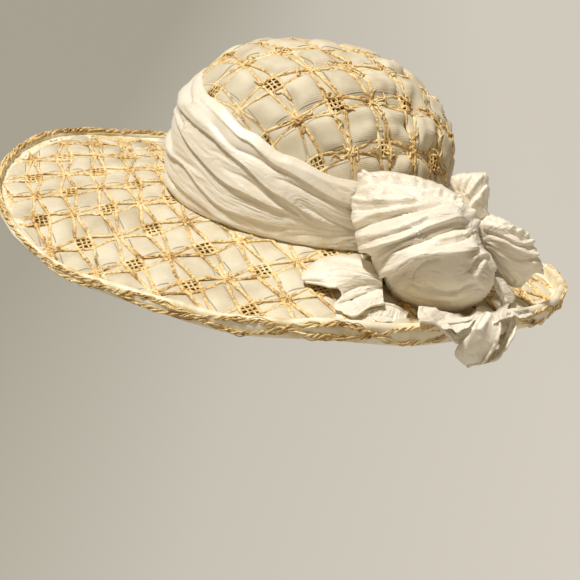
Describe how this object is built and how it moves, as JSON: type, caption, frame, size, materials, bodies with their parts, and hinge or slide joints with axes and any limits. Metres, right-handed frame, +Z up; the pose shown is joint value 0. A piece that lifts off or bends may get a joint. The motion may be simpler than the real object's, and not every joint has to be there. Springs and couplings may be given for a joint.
{
  "type": "wide-brim hat",
  "caption": "Wide-brim dress hat of woven ribbon and raffia lattice with a rolled edge and a gathered silk scarf wound round the crown and knotted at one side.",
  "frame": {"origin": "centre of the head opening, on the plane where the crown meets the brim", "axes": "+Z up along the crown, -Y towards the front of the hat, +X towards the wearer's left, where the scarf is knotted"},
  "size_m": [0.3942, 0.462, 0.1726],
  "materials": {
    "woven_ribbon": "off-white ribbed ribbon woven with gold raffia",
    "raffia": "golden raffia braid",
    "silk": "crinkled ivory silk"
  },
  "bodies": {
    "root": {"crown": "woven_ribbon", "brim": "woven_ribbon", "edge_braid": "raffia", "scarf_band": "silk", "scarf_knot": "silk", "scarf_back_loop": "silk", "scarf_tuft": "silk", "scarf_front_tail": "silk", "scarf_lower_tail": "silk", "scarf_hanging_tail": "silk"}
  },
  "joints": []
}
